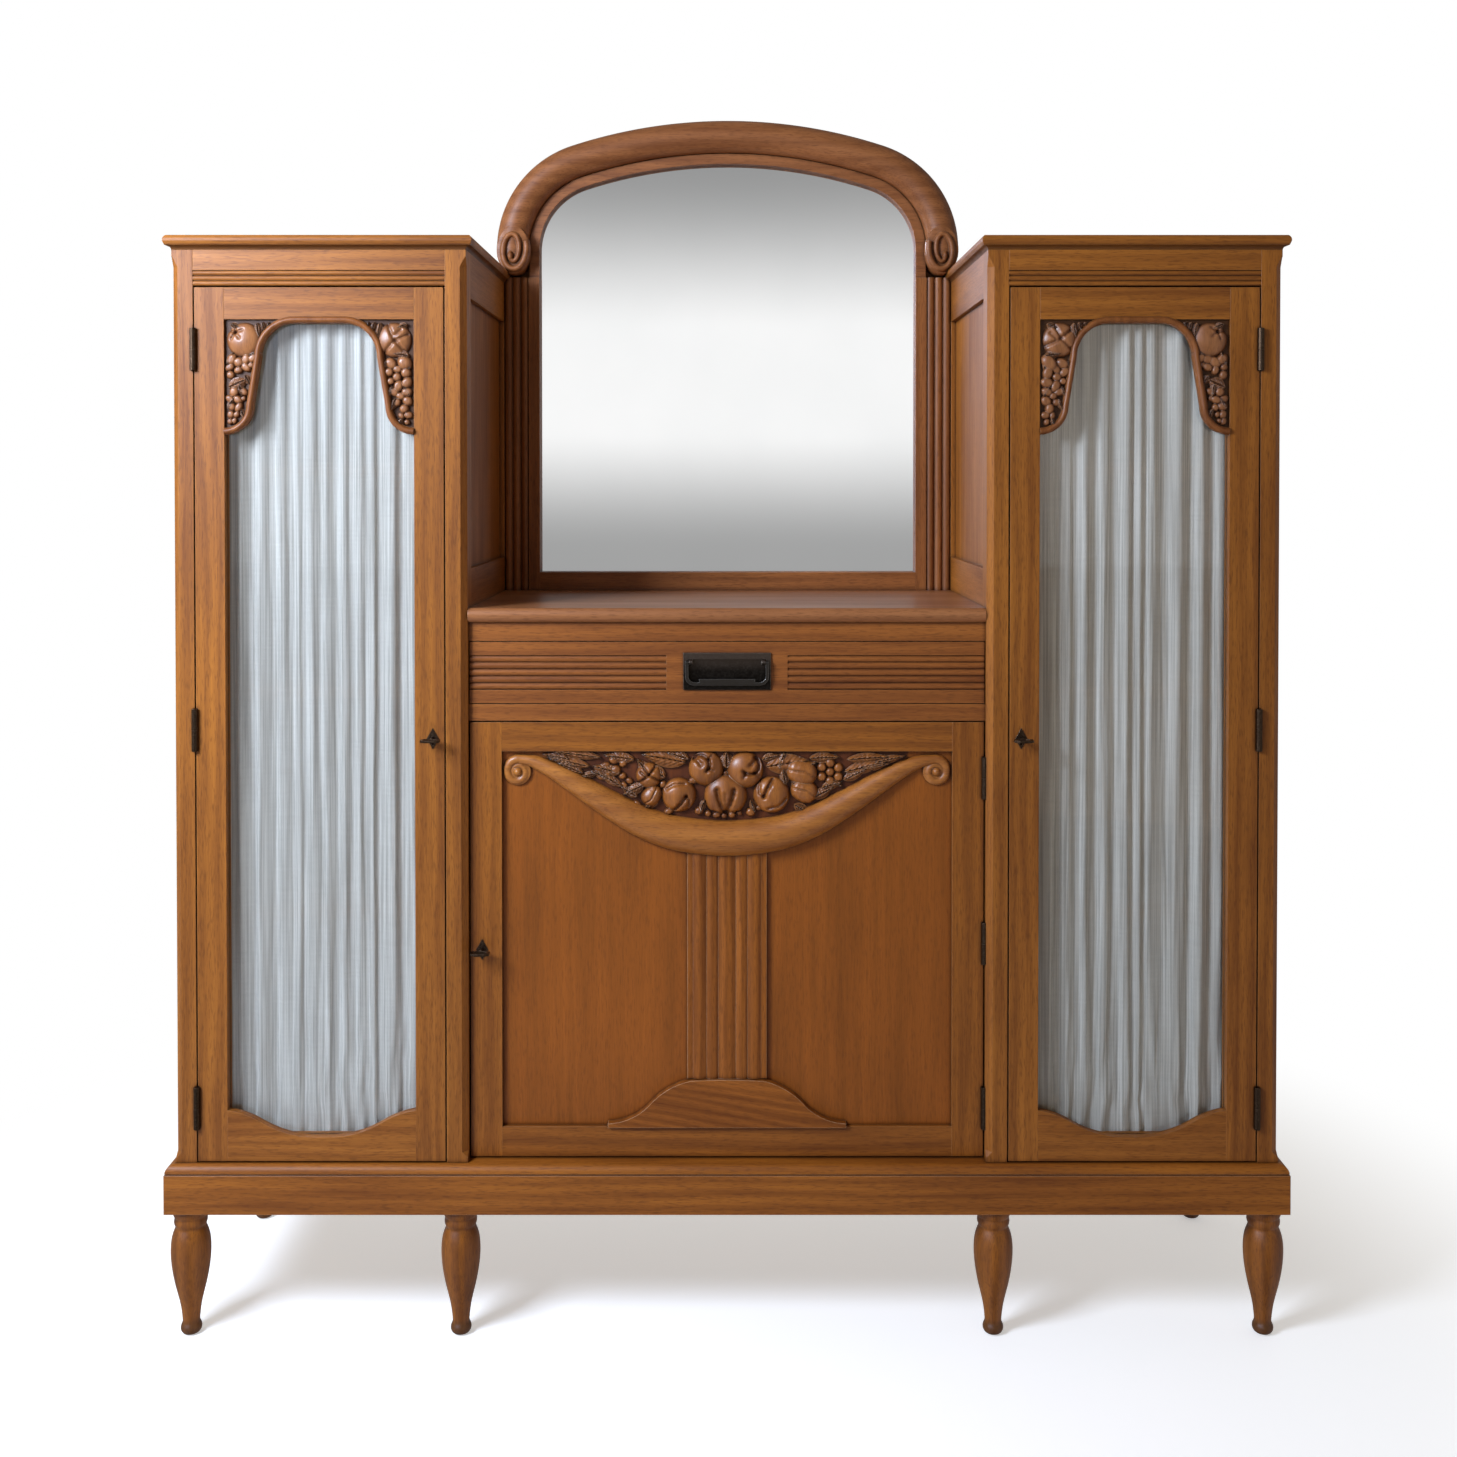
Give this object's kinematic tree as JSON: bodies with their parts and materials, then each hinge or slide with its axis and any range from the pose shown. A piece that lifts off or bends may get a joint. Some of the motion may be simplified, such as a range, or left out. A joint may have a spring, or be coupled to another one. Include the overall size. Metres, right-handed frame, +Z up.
{
  "type": "sideboard",
  "caption": "Oak sideboard: glazed, curtained side towers flank a counter, drawer and carved cupboard below an arched mirror niche, on a moulded plinth and turned legs.",
  "frame": {"origin": "on the floor, below the middle of the whole object's box, keys included", "axes": "+Z up, +X to the right seen from the front, +Y from the front to the back"},
  "size_m": [1.601, 0.43, 1.8209],
  "materials": {
    "oak": "waxed, satin",
    "oak_carved": "waxed, satin",
    "oak_inside": "plain, matt",
    "clear_glass": "polished",
    "looking_glass": "silvered",
    "sheer_cloth": "sheer, gathered",
    "rod_brass": "satin",
    "dark_bronze": "dark patina",
    "steel": "worn"
  },
  "bodies": {
    "carcass": {"front_legs": "oak", "rear_legs": "oak", "plinth_front": "oak", "plinth_returns": "oak", "tower_side_panels": "oak", "tower_side_rails": "oak", "shelf_cleats": "oak_inside", "left_tower_posts": "oak", "right_tower_posts": "oak", "left_top_rail": "oak", "right_top_rail": "oak", "left_cornice": "oak", "right_cornice": "oak", "left_tower_floor": "oak_inside", "right_tower_floor": "oak_inside", "left_tower_back": "oak_inside", "right_tower_back": "oak_inside", "left_shelves": "oak_inside", "right_shelves": "oak_inside", "counter_top": "oak", "centre_rails": "oak", "centre_floor": "oak_inside", "centre_shelf": "oak_inside", "centre_back": "oak_inside", "drawer_runners": "oak_inside", "post_hinges": "dark_bronze", "mirror_board": "oak_inside", "mirror_glass": "looking_glass", "mirror_frame": "oak", "arch_strip": "oak", "arch_moulding": "oak"},
    "left_door": {"left_door_frame": "oak", "left_door_arch": "oak", "left_door_carving": "oak_carved", "left_door_glass": "clear_glass", "left_curtain": "sheer_cloth", "left_curtain_rods": "rod_brass", "left_door_hinges_and_lock": "dark_bronze"},
    "right_door": {"right_door_frame": "oak", "right_door_arch": "oak", "right_door_carving": "oak_carved", "right_door_glass": "clear_glass", "right_curtain": "sheer_cloth", "right_curtain_rods": "rod_brass", "right_door_hinges_and_lock": "dark_bronze"},
    "centre_door": {"centre_door_frame": "oak", "centre_door_panel": "oak", "centre_door_carving": "oak_carved", "centre_door_pilaster": "oak", "centre_door_hinges_and_lock": "dark_bronze"},
    "drawer": {"drawer_front": "oak", "drawer_box": "oak_inside", "pull_plate": "dark_bronze"},
    "drawer_bail": {"pull_bail": "dark_bronze"},
    "left_key": {"left_key": "dark_bronze"},
    "left_lock_bolt": {"left_lock_bolt": "steel"},
    "right_key": {"right_key": "dark_bronze"},
    "right_lock_bolt": {"right_lock_bolt": "steel"},
    "centre_key": {"centre_key": "dark_bronze"},
    "centre_lock_bolt": {"centre_lock_bolt": "steel"}
  },
  "joints": [
    {"name": "left_door_hinge", "type": "hinge", "parent": "carcass", "child": "left_door", "pos_m": [-0.756, -0.188, 0.85], "axis": [0, 0, -1], "range_deg": [0, 160]},
    {"name": "right_door_hinge", "type": "hinge", "parent": "carcass", "child": "right_door", "pos_m": [0.756, -0.188, 0.85], "axis": [0, 0, 1], "range_deg": [0, 160]},
    {"name": "centre_door_hinge", "type": "hinge", "parent": "carcass", "child": "centre_door", "pos_m": [0.369, -0.172, 0.56], "axis": [0, 0, 1], "range_deg": [0, 100]},
    {"name": "drawer_slide", "type": "slide", "parent": "carcass", "child": "drawer", "axis": [0, -1, 0], "range_m": [0, 0.29]},
    {"name": "bail_swing", "type": "hinge", "parent": "drawer", "child": "drawer_bail", "pos_m": [0, -0.1745, 0.9662], "axis": [-1, 0, 0], "range_deg": [0, 85]},
    {"name": "left_key_turn", "type": "hinge", "parent": "left_door", "child": "left_key", "pos_m": [-0.4185, -0.185, 0.859], "axis": [0, -1, 0], "range_deg": [0, 360]},
    {"name": "left_bolt_throw", "type": "slide", "parent": "left_door", "child": "left_lock_bolt", "axis": [1, 0, 0], "range_m": [0, 0.008]},
    {"name": "right_key_turn", "type": "hinge", "parent": "right_door", "child": "right_key", "pos_m": [0.4185, -0.185, 0.859], "axis": [0, 1, 0], "range_deg": [0, 360]},
    {"name": "right_bolt_throw", "type": "slide", "parent": "right_door", "child": "right_lock_bolt", "axis": [-1, 0, 0], "range_m": [0, 0.008]},
    {"name": "centre_key_turn", "type": "hinge", "parent": "centre_door", "child": "centre_key", "pos_m": [-0.3515, -0.185, 0.553], "axis": [0, 1, 0], "range_deg": [0, 360]},
    {"name": "centre_bolt_throw", "type": "slide", "parent": "centre_door", "child": "centre_lock_bolt", "axis": [-1, 0, 0], "range_m": [0, 0.008]}
  ],
  "couplings": [
    {"joint": "left_bolt_throw", "follows": "left_key_turn", "m_per_rad": 0.0012732},
    {"joint": "right_bolt_throw", "follows": "right_key_turn", "m_per_rad": 0.0012732},
    {"joint": "centre_bolt_throw", "follows": "centre_key_turn", "m_per_rad": 0.0012732}
  ]
}
